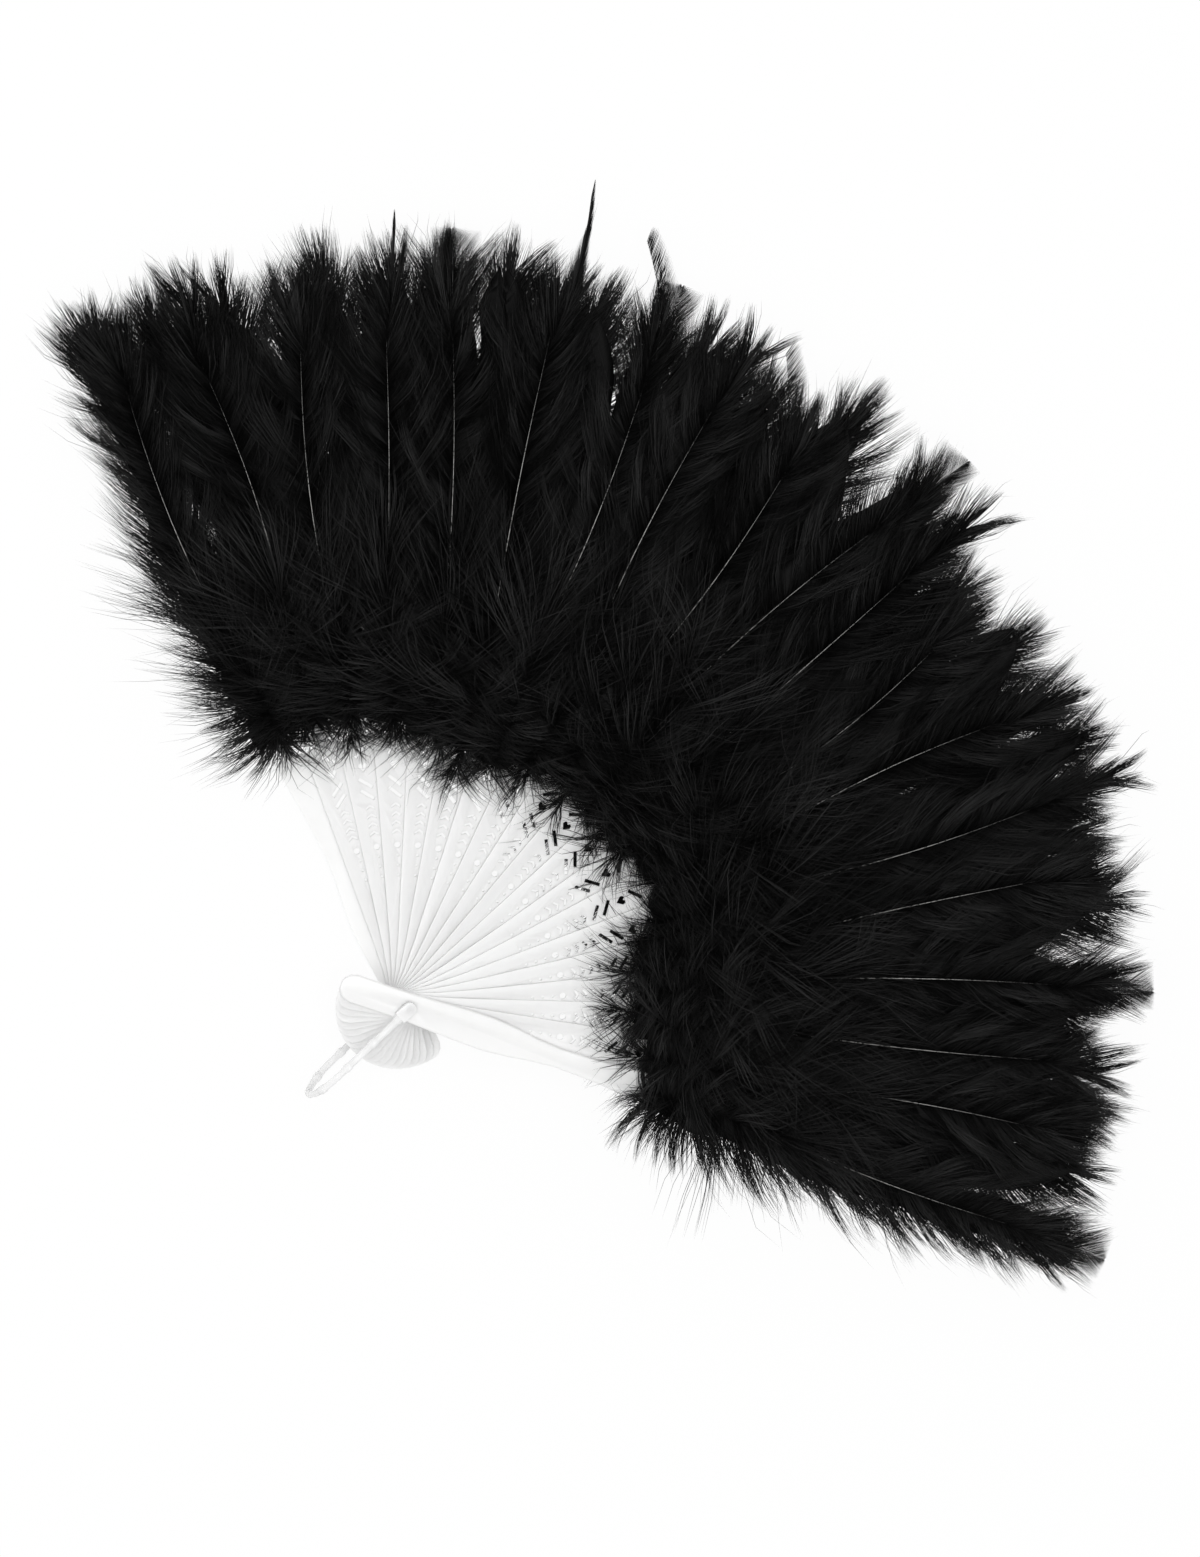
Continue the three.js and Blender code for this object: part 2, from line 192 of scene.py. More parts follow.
def add_piece(mesh: Mesh, finish: Material) -> Object:
    """Gives a mesh its finish, puts it into the scene under its own name and reports it.

    Args:
        mesh: The mesh, which already lies in its place.
        finish: Its material.

    Returns:
        The new object.
    """
    mesh.materials.clear()
    mesh.materials.append(finish)
    piece = bpy.data.objects.new(mesh.name, mesh)
    bpy.context.collection.objects.link(piece)
    LOG.info("%s: %d faces of %s", piece.name, len(mesh.polygons), finish.name)
    return piece


def between(values: tuple[float, ...], share: np.ndarray) -> np.ndarray:
    """Reads values that are spread evenly from 0 to 1 at other places on that stretch."""
    return np.interp(share, np.linspace(0, 1, len(values)), values)


class Finish(ABC):
    """A finish that one principled shader shows."""

    name: str

    def material(self) -> Material:
        """Builds the material round its shader.

        Returns:
            The material.
        """
        material, tree = new_material(self.name)
        shader = add_node(tree, "BsdfPrincipled", inputs=self.feed(tree))
        add_node(tree, "OutputMaterial", inputs={"Surface": shader})
        return material

    @abstractmethod
    def feed(self, tree: NodeTree) -> dict[str, object]:
        """Adds the nodes that feed the shader.

        Args:
            tree: The material's node tree.

        Returns:
            The shader's inputs, each with its value or the node that feeds it.
        """


@dataclass(frozen=True)
class DyedMarabou(Finish):
    """Marabou down, dyed black in a bath: loose strands, each of which took a little more or less dye, with
    painted highlight and painted shadow in their colour.
    """

    # To the eye it is a soft, deep black. The palest strands are painted a dull grey, partly their own dye
    # and partly a painted highlight, and every strand is darkened towards its root with painted shadow.
    name: str = "dyed_marabou"
    deep: str = "020202"
    palest: str = "3c3c3c"
    root_shadow_stretch: float = 0.6  # the share of a strand, from its root, over which the painted shadow lifts
    tone_in_root_shadow: float = 0.15  # how much of its own tone shows through the painted shadow at its root
    roughness: float = 0.48
    shine: float = 0.08

    def feed(self, tree: NodeTree) -> dict[str, object]:
        """Mixes the colour by each strand's own tone, whose palest end holds a painted highlight, and
        darkens it towards the root with painted shadow.

        Args:
            tree: The material's node tree.

        Returns:
            The shader's inputs.
        """
        shade = add_node(tree, "Attribute", {"attribute_name": "shade"}).outputs["Fac"]
        along = add_node(tree, "Attribute", {"attribute_name": "along"}).outputs["Fac"]
        # The palest strands hold a painted highlight as well as their own dye.
        inputs = {"Fac": shade, "Color1": linear(self.deep), "Color2": linear(self.palest)}
        strand = add_node(tree, "MixRGB", inputs=inputs)
        # Painted shadow: every strand darkens towards its root, so that dark lines show between overlapping
        # feathers.
        inputs = {"Value": along, "From Max": self.root_shadow_stretch, "To Min": self.tone_in_root_shadow}
        out_of_root_shadow = add_node(tree, "MapRange", inputs=inputs)
        inputs = {"Fac": out_of_root_shadow, "Color1": linear(self.deep), "Color2": strand}
        colour = add_node(tree, "MixRGB", inputs=inputs)
        return {"Base Color": colour, "Roughness": self.roughness, "Specular IOR Level": self.shine}


@dataclass(frozen=True)
class DyedVane(Finish):
    """Feather vane, dyed black in a bath: barbs that are still zipped together into a thin sheet."""

    # To the eye it is a smoother black than the down, satin and faintly mottled.
    name: str = "dyed_vane"
    deep: str = "040404"
    palest: str = "131313"
    mottle_mm: float = 1.4
    mottle_detail: float = 3.0
    roughness: float = 0.55
    shine: float = 0.07

    def feed(self, tree: NodeTree) -> dict[str, object]:
        """Mottles the colour, where the dye took unevenly.

        Args:
            tree: The material's node tree.

        Returns:
            The shader's inputs.
        """
        colour = clouded(tree, self.mottle_mm, self.mottle_detail, self.deep, self.palest)
        return {"Base Color": colour, "Roughness": self.roughness, "Specular IOR Level": self.shine}


@dataclass(frozen=True)
class QuillHorn(Finish):
    """Feather quill: horn that grew smooth and took the black dye, with a painted highlight in its colour.
    """

    # To the eye it is a pale grey, glossy line on the black. The pale grey is partly the horn's own and
    # partly a painted highlight, streaked into painted glints, and it darkens to black at its tip.
    name: str = "quill_horn"
    pale: str = "d6d5d2"
    dark: str = "7c7b79"
    tip: str = "161616"
    streak_mm: float = 6.0
    streak_detail: float = 2.0
    fading_mm: tuple[float, float] = (190.0, 248.0)  # where it starts and ends, from the pivot
    roughness: float = 0.32
    horn_ior: float = 1.54

    def feed(self, tree: NodeTree) -> dict[str, object]:
        """Streaks the painted highlight along the quill into glints, and darkens it towards the tip.

        Args:
            tree: The material's node tree.

        Returns:
            The shader's inputs.
        """
        # Painted highlight: the pale grey, broken by the streaks into painted glints.
        painted_glints = clouded(tree, self.streak_mm, self.streak_detail, self.dark, self.pale)
        place = add_node(tree, "TexCoord").outputs["Object"]
        from_pivot = add_node(tree, "VectorMath", {"operation": "LENGTH"}, {0: place}).outputs["Value"]
        start, end = self.fading_mm
        inputs = {"Value": from_pivot, "From Min": start * MM, "From Max": end * MM}
        fading = add_node(tree, "MapRange", inputs=inputs)
        inputs = {"Fac": fading, "Color1": painted_glints, "Color2": linear(self.tip)}
        colour = add_node(tree, "MixRGB", inputs=inputs)
        return {"Base Color": colour, "Roughness": self.roughness, "IOR": self.horn_ior}


@dataclass(frozen=True)
class MilkyPolypropylene(Finish):
    """Polypropylene, injection-moulded in a finely grained mould."""

    # To the eye it is milky white and satin.
    # Light bleeds through its thin edges, and the flow marks barely show.
    name: str
    colour: str = "f1f1f1"
    flow_colour: str = "efefee"
    flow_mm: float = 9.0
    flow_detail: float = 3.0
    grain_mm: float = 0.7  # the mould's own grain is finer; this is as fine as the render shows
    grain_detail: float = 2.0
    grain_bump: float = 0.06
    grain_depth_mm: float = 0.05
    smoothest: float = 0.26
    roughest: float = 0.4
    bleed: float = 0.8
    bleed_mm: float = 2.2
    plastic_ior: float = 1.49

    def feed(self, tree: NodeTree) -> dict[str, object]:
        """Puts flow marks into the colour, and mould grain into the roughness and the bump.

        Args:
            tree: The material's node tree.

        Returns:
            The shader's inputs.
        """
        colour = clouded(tree, self.flow_mm, self.flow_detail, self.colour, self.flow_colour)
        place = add_node(tree, "TexCoord").outputs["Object"]
        inputs = {"Vector": place, "Scale": 1 / (self.grain_mm * MM), "Detail": self.grain_detail}
        grain = add_node(tree, "TexNoise", inputs=inputs).outputs["Fac"]
        inputs = {"Value": grain, "To Min": self.smoothest, "To Max": self.roughest}
        roughness = add_node(tree, "MapRange", inputs=inputs)
        inputs = {"Height": grain, "Strength": self.grain_bump, "Distance": self.grain_depth_mm * MM}
        bump = add_node(tree, "Bump", inputs=inputs)
        return {
            "Base Color": colour,
            "Roughness": roughness,
            "Normal": bump,
            "IOR": self.plastic_ior,
            "Subsurface Weight": self.bleed,
            "Subsurface Radius": (1.0, 1.0, 1.0),
            "Subsurface Scale": self.bleed_mm * MM,
        }


@dataclass(frozen=True)
class CottonTape(Finish):
    """Cotton tape, woven plain and dyed black."""

    # To the eye it is a matt black with a fine check of threads, and the darker squares are painted shade in
    # the hollows between them. The threads are drawn twice as wide as the real ones, so that they show.
    name: str = "cotton_tape"
    thread: str = "17171a"
    hollow_shade: str = "060606"
    thread_mm: float = 0.6
    thread_bump: float = 0.4
    thread_depth_mm: float = 0.1
    roughness: float = 0.9
    fuzz: float = 0.2

    def feed(self, tree: NodeTree) -> dict[str, object]:
        """Lays the weave on the tape's own length and width, in the colour and the bump.

        Args:
            tree: The material's node tree.

        Returns:
            The shader's inputs.
        """
        cloth = add_node(tree, "UVMap", {"uv_map": "cloth"})
        inputs = {"Vector": cloth, "Scale": 1 / (self.thread_mm * MM)}
        weave = add_node(tree, "TexChecker", inputs=inputs).outputs["Fac"]
        # The darker squares are painted shade in the hollows between the threads.
        inputs = {"Fac": weave, "Color1": linear(self.thread), "Color2": linear(self.hollow_shade)}
        colour = add_node(tree, "MixRGB", inputs=inputs)
        inputs = {"Height": weave, "Strength": self.thread_bump, "Distance": self.thread_depth_mm * MM}
        bump = add_node(tree, "Bump", inputs=inputs)
        return {
            "Base Color": colour,
            "Roughness": self.roughness,
            "Sheen Weight": self.fuzz,
            "Normal": bump,
        }


@dataclass(frozen=True)
class StudioPaper:
    """Seamless backdrop paper, pale and rolled smooth."""

    # To the eye it is plain white, and the fan's soft shadow still shows on it.
    colour: str = "f8f8f8"
    glow_share: float = 0.94

    def material(self) -> Material:
        """Builds the material: matt paper, with an even white share for the rays that see it directly.

        Returns:
            The material.
        """
        material, tree = new_material("studio_paper")
        inputs = {0: seen_directly(tree), 1: self.glow_share}
        share = add_node(tree, "Math", {"operation": "MULTIPLY"}, inputs)
        paper = add_node(tree, "BsdfDiffuse", inputs={"Color": linear(self.colour)})
        white = add_node(tree, "Emission", inputs={"Color": WHITE, "Strength": 1.0})
        mixed = add_node(tree, "MixShader", inputs={0: share, 1: paper, 2: white})
        add_node(tree, "OutputMaterial", inputs={"Surface": mixed})
        return material


@dataclass(frozen=True)
class FanLayout:
    """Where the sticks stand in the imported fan, in millimetres. Stick 0 is the rear guard."""

    inner_sticks: int = 17
    spread_deg: float = 135.0
    first_rib_z: float = 3.8
    layer_pitch: float = 1.2
    rib_thickness: float = 0.5
    blade_thickness: float = 0.9
    tape_radius: float = 150.0
    tape_width: float = 12.0
    tape_thickness: float = 0.2

    @property
    def last(self) -> int:
        """The front guard's number."""
        return self.inner_sticks + 1

    @property
    def pitch(self) -> float:
        """The angle from one stick to the next, in radians."""
        return math.radians(self.spread_deg) / self.last

    def angle(self, stick: int) -> float:
        """A stick's direction from the pivot, in radians from +X."""
        return math.pi / 2 + (self.last / 2 - stick) * self.pitch

    def rib_z(self, stick: int) -> float:
        """The height of the underside of a stick's rib, in millimetres."""
        return self.first_rib_z + stick * self.layer_pitch

    def body(self, stick: int) -> str:
        """The name of the CAD body, and of the blade's node, of a stick."""
        return {0: "rear_guard", self.last: "front_guard"}.get(stick, f"stick_{stick:02d}")

    def plume_node(self, stick: int) -> str:
        """The name of the CAD node of a stick's plume."""
        return {0: "rear_guard_plume", self.last: "front_guard_plume"}.get(stick, f"plume_{stick:02d}")


@dataclass(frozen=True)
class FeatherShape:
    """One feather on a stick. Lengths are in millimetres and angles in degrees from the quill."""

    root: float  # where the quill starts, from the pivot
    tip: float  # where the quill ends
    barbs: int
    length: tuple[float, ...]  # of a barb, from the root of the quill to its tip
    angle: tuple[float, ...]  # between barb and quill, from the root of the quill to its tip
    height: tuple[float, float]  # of the quill off the rib, at its root and at its highest
    reach: float  # no barb goes further out than about this
    lift: float = 0.14  # how steeply the fluffiest barbs stand off
    offset: float = 0.0  # sideways place of the quill's root
    sway: float = 0.0  # sideways drift of the quill's tip
    bow: float = 0.0  # sideways bend of the quill's middle
    straighten: float = 0.4  # share of its angle that a barb keeps at its end
    ruffle: float = 1.0  # how untidy the barbs lie: near 0 is a flat vane, over 1 is down
    thickness: float = 0.17  # half of a barb's greatest width
    taper: float = 0.1  # a barb's width at its end, as a share of its greatest
    lock: int = 26  # barbs on one side that cling together
    cling: float = 0.5  # how far the ends of a lock draw together
    splay: float = 0.0  # how evenly the barbs at the tip spread round it: 1 makes a round, broad tip
    quill: float = 0.0  # the quill's radius at its root, or 0 where down hides it
    shown: tuple[float, float] = (0.0, 1.0)  # the stretch of the quill that shows above the barbs
    vane: float = 0.0  # half width of the closed vane along the quill, or 0 where the barbs are loose
    vane_over: float = 0.0  # how far the vane goes on past the quill's tip
    bluntness: float = 5.0  # of the vane's tip: 2 is round, and much more is square


@dataclass(frozen=True)
class BarbForm:
    """What all barbs have in common."""

    crowding: float = 0.35  # how much closer the barbs stand towards a tip with a splay of 1
    splay_from: float = 0.7  # the share of the quill past which the barbs of a splayed tip spread
    least_cosine: float = 0.5  # so that a slanting barb gets at most twice the room of a straight one
    climb: float = 0.5  # how steeply a barb starts, as a share of the feather's lift
    droop: float = 0.6  # how far it has come down again at its end, as a share of the lift
    cling_power: float = 1.5  # how late along a barb its lock draws together
    widest_at: float = 0.35  # share of its length
    root_width: float = 0.8  # as a share of its greatest
    shade: float = 0.29  # where 0 is the deepest black and 1 the palest, which holds a painted highlight


@dataclass(frozen=True)
class Untidiness:
    """How far barbs stray from their feather's shape, at a ruffle of 1: degrees, millimetres, shares."""

    lock_swing: float = 7.0  # of a whole lock, at its root
    barb_swing: float = 4.0  # of a single barb, at its root
    lock_end_swing: float = 8.0
    barb_end_swing: float = 5.0
    wisp_end_swing: float = 14.0
    lock_stretch: float = 0.14
    barb_stretch: float = 0.1
    most_stretch: float = 0.35
    root_scatter: float = 0.9  # up and down
    overreach: float = 9.0  # past the feather's reach, at most
    drawn_in: float = 5.0  # short of the feather's reach, at most
    lock_climb: float = 0.5
    barb_climb: float = 0.2
    ripple: tuple[float, float] = (0.8, 0.5)  # sideways, and up and down, at a barb's end
    ripple_phase: float = 5.0  # radians from root to end
    wisp_share: float = 0.06  # of the barbs are wisps, which are longer and thinner
    wisp_length: float = 1.4
    wisp_width: float = 0.6
    wisp_overreach: float = 27.0
    # Whatever the ruffle
    barb_width: float = 0.2
    feather_shade: float = 0.12
    lock_shade: float = 0.3
    barb_shade: float = 0.27


@dataclass(frozen=True)
class QuillForm:
    """What all quills have in common. Shares are of a quill's length."""

    stations: int = 13
    sides: int = 6
    stand: float = 1.6  # how far they stand clear of the barbs' roots, in millimetres
    rise: float = 0.12  # the share along which they come up through the barbs
    sink: tuple[float, float] = (1.1, 0.3)  # at this share they would have sunk to this part of their stand
    taper: float = 0.8  # how much thinner they are at the tip
    arch: tuple[float, float] = (0.05, 0.85)  # their height follows this much of half a wave: start, extent


@dataclass(frozen=True)
class VaneForm:
    """What all closed vanes have in common. Lengths are in millimetres, and waves in radians."""

    cuts: tuple[int, int] = (30, 6)  # along and across
    thickness: float = 0.25
    room_share: float = 0.6  # of the pitch between two sticks, which no half of a vane goes past
    least_taper: float = 0.02  # the square of the share of its width that is left at the tip
    edge_wave: float = 0.14  # of the width
    edge_wave_along: float = 19
    edge_wave_across: float = 2
    tip_wave: float = 0.035  # of the length
    tip_wave_across: float = 4
    tip_power: int = 6  # how much the tip's wave keeps to the tip
    below_quill: float = 0.5
    camber: float = 1.2


@dataclass
class Strands:
    """Centre lines of many barbs, with the directions round each and its shade. Arrays run barb by step."""

    line: np.ndarray
    across: np.ndarray
    upright: np.ndarray
    radius: np.ndarray
    shade: np.ndarray


class BarbField:
    """Thousands of like barbs in one mesh, made once by doubling, and then bent strand by strand.

    Each barb is a closed three-sided spike of a few steps. In the stored mesh the coordinates are only
    counters: X counts the barbs, Z counts the steps along each one, and what is left of X, with Y, is the
    place round the strand.
    """

    DOUBLINGS = 9
    STEPS = 3
    SIDES = 3
    SPACING = 10.0
    POINTED = 1e-4  # a ring narrower than this is the spike's point
    MAP_START = 0.03  # the map for baking keeps this clear of its edges
    MAP_SPAN = 0.94
    MAP_RING = 0.01  # and gives each barb this much width

    def __init__(self, seeds: int) -> None:
        """Makes the field and reads the counters back.

        Args:
            seeds: How many barbs there are before the doubling.
        """
        self.count = seeds * 2**self.DOUBLINGS
        self.mesh = self._grow(seeds)
        counters = np.empty(len(self.mesh.vertices) * 3, dtype=np.float32)
        self.mesh.vertices.foreach_get("co", counters)
        counters = counters.reshape(-1, 3)
        self.barb = np.rint(counters[:, 0] / self.SPACING).astype(int)
        self.step = np.rint(counters[:, 2]).astype(int)
        ring = np.stack([counters[:, 0] - self.SPACING * self.barb, counters[:, 1]], axis=1)
        width = np.linalg.norm(ring, axis=1, keepdims=True)
        self.ring = np.divide(ring, width, out=np.zeros_like(ring), where=width > self.POINTED)

    def _grow(self, seeds: int) -> Mesh:
        """Makes one spike, cuts it into steps, and copies and doubles it until the field is full.

        Args:
            seeds: How many barbs there are before the doubling.

        Returns:
            The field, whose coordinates are counters.
        """
        work = bmesh.new()
        bmesh.ops.create_cone(
            work,
            cap_ends=True,
            cap_tris=False,
            segments=self.SIDES,
            radius1=1.0,
            radius2=0.0,
            depth=self.STEPS,
        )
        bmesh.ops.translate(work, verts=work.verts, vec=(0, 0, self.STEPS / 2))
        for step in range(1, self.STEPS):
            geometry = work.verts[:] + work.edges[:] + work.faces[:]
            bmesh.ops.bisect_plane(work, geom=geometry, plane_co=(0, 0, step), plane_no=(0, 0, 1))
        seed = work.verts[:] + work.edges[:] + work.faces[:]
        for number in range(1, seeds):
            self._copy(work, seed, number)
        for doubling in range(self.DOUBLINGS):
            self._copy(work, work.verts[:] + work.edges[:] + work.faces[:], seeds * 2**doubling)
        return to_mesh(work, "barb_field", smooth=True)

    def _copy(self, work: BMesh, geometry: list[BMVert | BMEdge | BMFace], places: int) -> None:
        """Copies some barbs and moves the copies a number of places along.

        Args:
            work: The mesh that grows.
            geometry: The barbs to copy.
            places: How many barbs further on the copies stand.
        """
        made = bmesh.ops.duplicate(work, geom=geometry)["geom"]
        verts = [item for item in made if isinstance(item, BMVert)]
        bmesh.ops.translate(work, verts=verts, vec=(self.SPACING * places, 0, 0))

    def bend(self, name: str, strands: Strands) -> Mesh:
        """Copies the field and lays every barb along its strand.

        Args:
            name: The new mesh's name.
            strands: The strands, one for each barb, in metres.

        Returns:
            The new mesh, with each point's shade and place along its strand, and with a map for baking.
        """
        mesh = self.mesh.copy()
        mesh.name = name
        at = (self.barb, self.step)
        radius = strands.radius[at][:, None]
        across = self.ring[:, :1] * strands.across[at]
        upright = self.ring[:, 1:] * strands.upright[at]
        places = strands.line[at] + radius * (across + upright)
        mesh.vertices.foreach_set("co", places.astype(np.float32).ravel())
        along = self.step / self.STEPS
        shade = strands.shade[self.barb]
        for label, values in (("shade", shade), ("along", along)):
            attribute = mesh.attributes.new(label, "FLOAT", "POINT")
            attribute.data.foreach_set("value", values.astype(np.float32))
        corner = np.empty(len(mesh.loops), dtype=np.int32)
        mesh.loops.foreach_get("vertex_index", corner)
        map_across = self.MAP_START + self.MAP_SPAN * shade + self.MAP_RING * self.ring[:, 0]
        flat = np.stack([map_across, self.MAP_START + self.MAP_SPAN * along], axis=1)
        layer = mesh.uv_layers.new(name="OFBake")
        layer.data.foreach_set("uv", flat[corner].astype(np.float32).ravel())
        mesh.update()
        return mesh


@dataclass
class Plume:
    """The feathers on one face of a stick's rib: a long plume, a tuft of down and a few odd ones."""

    SEED = 1000  # what the untidiness of every plume starts from

    layout: FanLayout
    barb_field: BarbField
    stick: int
    side: Side
    feathers: list[FeatherShape]
    form: BarbForm = BarbForm()
    stray: Untidiness = Untidiness()
    quill_form: QuillForm = QuillForm()
    vane_form: VaneForm = VaneForm()
    floor_gap: float = 0.5
    ceiling: float = 44.0
    floor_give: float = 0.08  # what is left of a strand's depth under the floor, turned upwards
    ceiling_give: float = 0.1  # what is left of a strand's height over the ceiling
    ceiling_most: float = 10.0  # the most of that height that counts
    closed_share: float = 0.006  # the share of its loft for a closed fan

    @property
    def outermost(self) -> bool:
        """Whether these feathers are on the outside of the fan when it is closed."""
        return (self.stick, self.side) in ((0, Side.BACK), (self.layout.last, Side.FRONT))

    def levels(self) -> tuple[float, float]:
        """Says between which heights the feathers lie. The outermost keep to their own side of the rib.

        Returns:
            The lowest and the highest level, in millimetres.
        """
        rib = self.layout.rib_z(self.stick)
        if not self.outermost:
            return self.floor_gap, self.ceiling
        return (rib, self.ceiling) if self.side is Side.FRONT else (self.floor_gap, rib)

    def quill_line(self, shape: FeatherShape, share: np.ndarray) -> np.ndarray:
        """Points along a feather's quill, in the stick's own frame: out along X, sideways along Y.

        Args:
            shape: The feather.
            share: Places along the quill, from 0 to 1.

        Returns:
            One point for each share, in millimetres from the pivot and from the rib's underside.
        """
        out = shape.root + (shape.tip - shape.root) * share
        sideways = shape.offset + shape.sway * share**2 + shape.bow * np.sin(np.pi * share)
        low, high = shape.height
        start, extent = self.quill_form.arch
        standing = low + (high - low) * np.sin(np.pi * np.clip(share * extent + start, 0, 1))
        rib_face = self.layout.rib_thickness if self.side is Side.FRONT else 0.0
        return np.stack([out, sideways, rib_face + self.side.value * standing], axis=-1)

    def strands(self, shape: FeatherShape, random: np.random.Generator) -> Strands:
        """Lays out the barbs of one feather in the stick's own frame.

        Args:
            shape: The feather.
            random: The seeded source of its untidiness.

        Returns:
            The barbs' strands, in millimetres.
        """
        form, stray, untidy = self.form, self.stray, shape.ruffle
        count = shape.barbs
        number = np.arange(count)
        steps = np.linspace(0, 1, self.barb_field.STEPS + 1)

        # Where each barb grows, on which side of the quill and in which lock, and what chance gives it
        hand = np.where(number % 2 == 0, 1.0, -1.0)
        share = 1 - (1 - (number + random.random(count)) / count) ** (1 + form.crowding * shape.splay)
        lock = (number // (2 * shape.lock)) * 2 + (hand > 0)
        swing, rise, stretch, tone = random.normal(size=(4, int(lock.max()) + 1))[:, lock]
        own_swing, own_rise, own_stretch, own_tone = random.normal(size=(4, count))

        # Which way it starts and ends
        spread = between(shape.angle, share)
        splay = np.interp(share, [form.splay_from, 1], [0, shape.splay])
        spread *= 1 - splay * random.random(count)
        start = np.radians(spread + untidy * (stray.lock_swing * swing + stray.barb_swing * own_swing))
        wisp = random.random(count) < stray.wisp_share * untidy
        end_swing = np.where(wisp, stray.wisp_end_swing, stray.barb_end_swing)
        turn = np.radians(untidy * (stray.lock_end_swing * swing + end_swing * own_swing))
        end = start * shape.straighten + turn

        # How long it is, and how much of that the feather's reach leaves room for
        scatter = stray.lock_stretch * stretch + stray.barb_stretch * own_stretch
        scatter = np.clip(scatter, -stray.most_stretch, stray.most_stretch)
        length = between(shape.length, share)
        length *= (1 + untidy * scatter) * np.where(wisp, stray.wisp_length, 1.0)
        root = self.quill_line(shape, share)
        root[:, 2] += untidy * stray.root_scatter * random.normal(size=count)
        overreach = np.where(wisp, stray.wisp_overreach, stray.overreach) * random.random(count)
        room = shape.reach - root[:, 0] + untidy * (overreach - stray.drawn_in)
        outward = np.cos(end)
        fitted = np.minimum(length, room / np.clip(outward, form.least_cosine, 1))
        length = np.where(outward > 0, fitted, length)

        # Its centre line: out and sideways, up and over, rippled, and drawn towards the middle of its lock
        line = np.repeat(root[:, None, :], len(steps), axis=1)
        heading = start[:, None] + (end - start)[:, None] * (steps[:-1] + steps[1:]) / 2
        piece = length[:, None] * np.diff(steps)
        line[:, 1:, 0] += np.cumsum(piece * np.cos(heading), axis=1)
        line[:, 1:, 1] += np.cumsum(piece * np.sin(heading), axis=1) * hand[:, None]
        climb = shape.lift * (form.climb + untidy * (stray.lock_climb * rise + stray.barb_climb * own_rise))
        loft = climb[:, None] * steps - form.droop * shape.lift * steps**2
        line[:, :, 2] += self.side.value * length[:, None] * loft
        phase = random.random((count, 2, 1)) * 2 * np.pi
        ripple = np.sin(phase + stray.ripple_phase * steps) * steps * np.array(stray.ripple)[:, None]
        line[:, :, 1:] += untidy * np.swapaxes(ripple, 1, 2)
        middles = np.zeros((int(lock.max()) + 1, *line.shape[1:]))
        np.add.at(middles, lock, line)
        middles /= np.bincount(lock)[:, None, None]
        line += shape.cling * (steps**form.cling_power)[:, None] * (middles[lock] - line)

        # Its width and its shade
        across = np.stack([-np.sin(start) * hand, np.cos(start), np.zeros(count)], axis=-1)
        widths = [form.root_width, 1.0, shape.taper]
        profile = shape.thickness * np.interp(steps, [0, form.widest_at, 1], widths)
        slim = np.where(wisp, stray.wisp_width, 1.0) * (1 + stray.barb_width * np.tanh(own_tone))
        shade = form.shade + stray.feather_shade * random.normal()
        shade = shade + stray.lock_shade * tone + stray.barb_shade * own_tone
        return Strands(
            line=line,
            across=np.repeat(across[:, None, :], len(steps), axis=1),
            upright=np.broadcast_to(np.array([0.0, 0.0, 1.0]), line.shape),
            radius=slim[:, None] * profile,
            shade=np.clip(shade, 0, 1),
        )

    def name(self, kind: str) -> str:
        """The name of one of the plume's pieces."""
        return f"{self.side.name.lower()}_{kind}_{self.stick:02d}"

    def placement(self) -> Matrix:
        """The stick's frame in the fan, in metres."""
        turn = Matrix.Rotation(self.layout.angle(self.stick), 4, "Z")
        return Matrix.Translation((0, 0, self.layout.rib_z(self.stick) * MM)) @ turn

    def to_fan(self, points: np.ndarray) -> np.ndarray:
        """Turns points from the stick's frame in millimetres to the fan's frame in metres.

        Strands that would lie too low or stand too high are laid over.

        Args:
            points: Points in their last axis.

        Returns:
            The moved points, in the same order.
        """
        place = np.array(self.placement())
        moved = points * MM @ place[:3, :3].T + place[:3, 3]
        height = moved[..., 2]
        low, high = (level * MM for level in self.levels())
        height = np.where(height < low, low + self.floor_give * (low - height), height)
        over = np.clip(height - high, 0, self.ceiling_most * MM)
        moved[..., 2] = np.where(height > high, high + self.ceiling_give * over, height)
        return moved

    def build_barbs(self, finish: Material) -> Object:
        """Makes all the barbs of the plume as one piece.

        Args:
            finish: The material of the down.

        Returns:
            The new object.
        """
        random = np.random.default_rng(self.SEED + self.side.value * (self.stick + 1))
        laid = [self.strands(shape, random) for shape in self.feathers]
        spin = np.array(Matrix.Rotation(self.layout.angle(self.stick), 3, "Z"))
        strands = Strands(
            line=self.to_fan(np.concatenate([s.line for s in laid])),
            across=np.concatenate([s.across for s in laid]) @ spin.T,
            upright=np.concatenate([s.upright for s in laid]),
            radius=np.concatenate([s.radius for s in laid]) * MM,
            shade=np.concatenate([s.shade for s in laid]),
        )
        return add_piece(self.barb_field.bend(self.name("barbs"), strands), finish)

